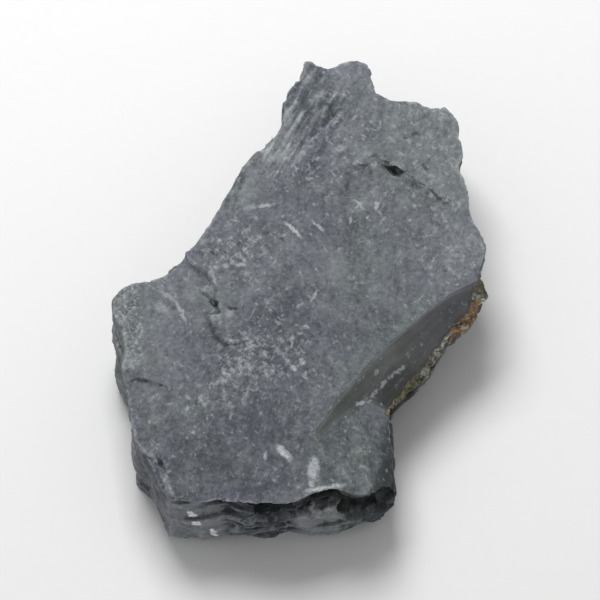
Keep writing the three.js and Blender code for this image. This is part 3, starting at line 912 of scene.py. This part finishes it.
    # The joint face: streaked along its length, darker under the vein, greener low down, warmer high up.
    joint = on_joint(w, place, level)
    joint_streak = w.noise(w.turned(place, JOINT_LEAN, (1.0, 0.12, 1.0)), 1.6, detail=4.0, roughness=0.65)
    joint_cloud = w.noise(place, 7.0, detail=4.0)
    joint_tone = w.total(0.94, w.varied(joint_streak, 0.9), w.varied(joint_cloud, 0.8))
    under_vein = area(soft_place, (28.5, -33.0), (4.2, 8.5), 40, 0.5)
    above_vein = area(soft_place, (24.0, -26.0), (3.0, 8.0), JOINT_LEAN, 0.6)
    joint_tone = w.product(joint_tone, w.line(under_vein, -0.55, 1.0), w.line(above_vein, 0.22, 1.0))
    joint_grey = w.joined(joint_tone, joint_tone, joint_tone)
    joint_colour = w.tint(1.0, opaque(settings.joint), joint_grey, "MULTIPLY")
    joint_colour = w.shaded(w.remap(y, -26.0, -42.0), joint_colour, (0.98, 1.05, 1.00))
    joint_colour = w.shaded(w.remap(y, -24.0, -12.0), joint_colour, (0.94, 0.90, 0.98))
    colour = w.tint(w.product(joint, 0.92), colour, joint_colour)

    # Calcite flecks and specks, and dark pits and dents. Where the flecks crowd, the specks do too.
    share = w.total(0.10, *areas(FLECKED_AREAS))
    share = w.product(share, w.line(joint, -0.8, 1.0))

    def specks(lean, size, gain):
        """Soft irregular specks, a little longer one way."""
        grains = w.noise(w.turned(place, lean, (1.0, 0.55, 1.0)), size, detail=3.0, roughness=0.7)
        return w.product(w.remap(w.total(grains, w.product(share, 0.15)), 0.60, 0.74), gain)

    strip = area(soft_place, (-49.5, -13.0), (4.5, 13.0), -6, 0.4)
    ring = w.maths("ABSOLUTE", w.total(w.noise(place, 2.4, detail=1.0, distortion=0.8), -0.5))
    calcite = w.total(
        specks(-40.0, 1.5, 0.34),
        specks(35.0, 1.7, 0.30),
        w.product(w.remap(ring, 0.05, 0.012), strip, 0.30),
        w.product(fleck_layer(-42.0, 2.6, 2.2, share, 0.19), 0.40),
        w.product(fleck_layer(38.0, 2.9, 2.0, share, 0.17), 0.44),
        w.product(fleck_layer(80.0, 3.3, 1.6, share, 0.16), 0.42),
    )
    pits = w.total(w.noise(place, 1.5, detail=3.0, roughness=0.7), w.product(share, -0.15))
    dents = w.total(
        fleck_layer(-25.0, 3.1, 2.2, 0.16, 0.13),
        fleck_layer(62.0, 3.7, 2.6, 0.14, 0.12),
        w.product(w.remap(pits, 0.38, 0.27), 0.45),
    )
    dents = w.product(dents, upward, w.inverse(joint), 0.75)

    # The larger marks, the vein, and the marks on the front side.
    mark_place = w.strayed(place, (wander, 2.0), (fine_wander, 0.6))
    feather = w.remap(w.noise(place, 0.9, detail=3.0, roughness=0.7), 0.34, 0.60, 0.45, 1.0)
    for middle, reach, lean, white in CALCITE_MARKS:
        mark = w.product(area(mark_place, middle, reach, lean, 0.5), feather, white)
        calcite = w.larger(calcite, mark)
    vein_line = [Vector((x, y, joint_height(x, y))) for x, y in JOINT_VEIN]
    vein = w.remap(run_of(vein_line, w.strayed(place, (wander, 1.8))), 0.85, 0.35)
    vein = w.product(vein, w.remap(w.noise(place, 1.1, detail=3.0), 0.38, 0.56), 0.5)
    calcite = w.product(w.larger(calcite, vein), upward, w.inverse(painted_hollow_shade))
    front_plane = w.vector("MULTIPLY", w.strayed(place, (wander, 2.6)), (1.0, 0.0, 1.0))
    front_mark = 0.0
    for start, end, half_width in FRONT_MARKS:
        near = run_of([(x, 0.0, z) for x, z in (start, end)], front_plane)
        front_mark = w.larger(front_mark, w.remap(near, half_width * 1.2, half_width * 0.6))
    front_mark = w.product(front_mark, feather, sideways, in_front)
    calcite = w.clamped(w.larger(calcite, front_mark))

    # Painted shade in the cracks and gaps, with the dents, which darkens the slate under the calcite.
    plan = w.vector("MULTIPLY", w.strayed(place, (wander, 1.2), (fine_wander, 0.7)), (1.0, 1.0, 0.0))
    painted_crack_shade = 0.0
    for points, half_width, darkness in CRACKS:
        near = run_of([(x, y, 0.0) for x, y in points], plan)
        line = w.remap(near, half_width * 1.7, half_width * 0.4)
        painted_crack_shade = w.larger(painted_crack_shade, w.product(line, darkness))
    painted_crack_shade = w.product(painted_crack_shade, w.remap(z, *CRACK_Z))
    colour = w.shaded(w.larger(dents, painted_crack_shade), colour, (0.16, 0.16, 0.17))
    colour = w.tint(calcite, colour, opaque(settings.calcite))
    colour = w.tint(w.product(front_mark, 0.8), colour, WHITE)

    # The foot of the joint face: a dark stain, and on it a crust of pale, olive and orange crumbs.
    foot = [Vector((x, y, joint_height(x, y))) for x, y in STAINED_FOOT]
    blotch = w.noise(place, 3.2, detail=4.0, roughness=0.65)
    reach = w.total(
        run_of(foot, place),
        w.varied(blotch, 6.0),
        w.product(w.remap(z, 29.0, 30.0), 6.0),
        w.product(w.remap(y, -14.0, -4.0), 0.6),
    )
    off_top = w.remap(level, 0.97, 0.90)
    stained = w.product(w.remap(reach, *STAIN_WIDTH), off_top)
    crusted = w.product(w.remap(reach, *CRUST_WIDTH), off_top)
    crumb_cells = w.cells(w.strayed(place, (wander, 1.2), (fine_wander, 0.9)), 0.95)
    crumb_shade, crumb_kind, crumb_chance = w.split(crumb_cells["Color"])
    crumb_round = w.remap(crumb_cells["Distance"], 0.90, 0.45)
    crumb_clump = w.total(crumb_chance, w.varied(w.noise(place, 2.0, detail=2.0), 1.6))
    fuller = w.product(w.remap(y, -16.0, -20.0), w.remap(y, -34.0, -30.0))
    crumb_clump = w.total(crumb_clump, w.product(fuller, 0.2))
    crumb_shade = w.line(crumb_shade, 0.75, 0.25)
    crumbs = w.product(crusted, crumb_round, w.remap(crumb_clump, 0.05, 0.35), crumb_shade)
    low_olive = w.product(w.remap(y, -25.0, -28.0), w.remap(y, -36.0, -33.0))
    olive = w.larger(w.remap(y, -6.0, -1.0), low_olive)
    grain_colour = w.tint(w.product(olive, 0.8), opaque(settings.crust), opaque(settings.lichen))
    grain_colour = w.shaded(w.remap(y, -6.0, -2.0), grain_colour, (0.26, 0.28, 0.20))
    rusty = w.noise(w.vector("ADD", place, (31.0, 7.0, 3.0)), 5.0, detail=3.0)
    rusty = w.total(rusty, w.product(w.remap(y, -16.0, -13.0), w.remap(y, -5.0, -8.0), 0.24))
    rusty = w.total(rusty, w.product(w.remap(y, -34.0, -37.0), 0.12))
    orange = w.product(w.remap(rusty, 0.57, 0.67), w.line(crumb_kind, 0.7, 0.3))
    orange = w.product(orange, w.remap(y, -3.5, -6.5))
    colour = w.tint(w.product(stained, 0.75), colour, opaque(settings.stain))
    colour = w.tint(crumbs, colour, grain_colour)
    colour = w.tint(w.product(crusted, orange, 0.9), colour, opaque(settings.rust))

    # Gloss and bump.
    w.tree.links.new(colour, shader.inputs["Base Color"])
    roughness = w.total(0.80, w.product(joint, -0.22), w.product(calcite, -0.15), w.product(fine, 0.10))
    w.tree.links.new(roughness, shader.inputs["Roughness"])
    tiny = w.noise(place, 0.45, detail=4.0, roughness=0.7)
    height = w.total(w.product(tiny, 0.35), w.product(fine, 0.8), w.product(streak, 0.5))
    height = w.product(height, w.line(joint, -0.7, 1.0))
    height = w.total(height, w.product(crumbs, 1.2))
    bump = w.node("ShaderNodeBump", {"Strength": 0.7, "Distance": BUMP_HEIGHT, "Height": height})
    w.tree.links.new(bump.outputs[0], shader.inputs["Normal"])
    return material


def apply_modifier(kind, name, **settings):
    """Put a modifier on the active object and apply it."""
    rock = bpy.context.object
    modifier = rock.modifiers.new(name, kind)
    for setting, value in settings.items():
        setattr(modifier, setting, value)
    bpy.ops.object.modifier_apply(modifier=name)


def triangle_count(mesh):
    return sum(len(polygon.vertices) - 2 for polygon in mesh.polygons)


class SLATE_OT_rock(Operator):
    """Dress the rock: its fine shape over the measured solid, and its finish"""

    bl_idname = "slate.rock"
    bl_label = "Slate Rock"

    def execute(self, context):
        settings = context.scene.slate_rock
        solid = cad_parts[ROCK_NODE]
        rock = bpy.data.objects.new("slate_skin", solid.data.copy())
        context.collection.objects.link(rock)
        bpy.ops.object.select_all(action="DESELECT")
        rock.select_set(True)
        context.view_layer.objects.active = rock
        bpy.ops.object.mode_set(mode="EDIT")
        bpy.ops.mesh.select_all(action="SELECT")
        bpy.ops.mesh.remove_doubles(threshold=MERGE_DISTANCE)
        bpy.ops.object.mode_set(mode="OBJECT")

        apply_modifier("REMESH", "Fine skin", mode="VOXEL", voxel_size=settings.voxel)
        apply_modifier("NODES", "Relief", node_group=relief_group(settings))
        share = settings.most_triangles / triangle_count(rock.data)
        if share < 1:
            apply_modifier("DECIMATE", "Thin out", ratio=share)
        # The crest, hollow and level stored here feed the edge wear and the painted shade.
        apply_modifier("NODES", "Wear and shade", node_group=wear_and_shade_group())
        bpy.ops.object.shade_smooth_by_angle(angle=SMOOTH_ANGLE)
        rock.data.materials.clear()
        rock.data.materials.append(slate_material(settings))
        print("slate_skin:", triangle_count(rock.data), "triangles")

        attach(rock, ROCK_BODY)
        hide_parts(ROCK_NODE)
        return {"FINISHED"}


# The stage, in metres: the floor's side and the size of its grain, where the soft box stands, and how
# far the camera sees.
FLOOR_SIZE = 6.0
PAPER_GRAIN = 0.004
LAMP_PLACE = Vector((-0.16, 0.50, 0.86))
CLIP_END = 20.0


class SLATE_OT_stage(Operator):
    """Set the floor, the soft light and the camera"""

    bl_idname = "slate.stage"
    bl_label = "Stage"

    def execute(self, context):
        settings = context.scene.slate_stage
        scene = context.scene
        scene.view_settings.view_transform = "Standard"

        bpy.ops.mesh.primitive_plane_add(size=FLOOR_SIZE)
        floor = context.object
        floor.name = "floor"
        paper, w, shader = new_material("Pale paper")
        grain = w.noise(w.node("ShaderNodeTexCoord").outputs["Object"], PAPER_GRAIN, detail=3.0)
        shader.inputs["Roughness"].default_value = 0.9
        light_paper = opaque([channel * 1.02 for channel in settings.floor])
        paper_colour = w.tint(grain, opaque(settings.floor), light_paper)
        w.tree.links.new(paper_colour, shader.inputs["Base Color"])
        floor.data.materials.append(paper)

        world = bpy.data.worlds.new("Studio")
        world.use_nodes = True
        background = world.node_tree.nodes["Background"]
        background.inputs["Color"].default_value = WHITE
        background.inputs["Strength"].default_value = settings.sky
        scene.world = world

        bpy.ops.object.light_add(type="AREA", location=LAMP_PLACE)
        lamp = context.object
        lamp.name = "soft_box"
        lamp.data.size = settings.lamp_size
        lamp.data.energy = settings.lamp
        lamp.rotation_euler = (-LAMP_PLACE).to_track_quat("-Z", "Y").to_euler()

        low, high = (Vector(corner) for corner in CAD_BOX)
        target = Vector((PLAN_ORIGIN.x * MM, PLAN_ORIGIN.y * MM, (low.z + high.z) / 2))
        height = settings.view_height
        back = Vector((0.0, -math.cos(height), math.sin(height)))
        bpy.ops.object.camera_add(location=target + back * settings.view_distance)
        camera = context.object
        camera.rotation_euler = (-back).to_track_quat("-Z", "Y").to_euler()
        camera.data.lens = camera.data.sensor_width * settings.view_distance / settings.view_width
        camera.data.clip_end = CLIP_END
        scene.camera = camera
        return {"FINISHED"}


class SLATE_PT_panel(Panel):
    """The rock and its stage in the sidebar"""

    bl_label = "Slate Rock"
    bl_idname = "SLATE_PT_panel"
    bl_space_type = "VIEW_3D"
    bl_region_type = "UI"
    bl_category = "Slate Rock"

    def draw(self, context):
        layout = self.layout
        rock = context.scene.slate_rock
        stage = context.scene.slate_stage
        for settings in (rock, stage):
            box = layout.box()
            for name in settings.__annotations__:
                box.prop(settings, name)
        layout.operator(SLATE_OT_rock.bl_idname)
        layout.operator(SLATE_OT_stage.bl_idname)


CLASSES = (SlateRockSettings, SlateStageSettings, SLATE_OT_rock, SLATE_OT_stage, SLATE_PT_panel)


def register():
    for cls in CLASSES:
        bpy.utils.register_class(cls)
    bpy.types.Scene.slate_rock = PointerProperty(type=SlateRockSettings)
    bpy.types.Scene.slate_stage = PointerProperty(type=SlateStageSettings)


def unregister():
    del bpy.types.Scene.slate_stage
    del bpy.types.Scene.slate_rock
    for cls in reversed(CLASSES):
        bpy.utils.unregister_class(cls)


def main():
    register()
    bpy.ops.slate.rock()
    bpy.ops.slate.stage()


if __name__ == "__main__":
    main()
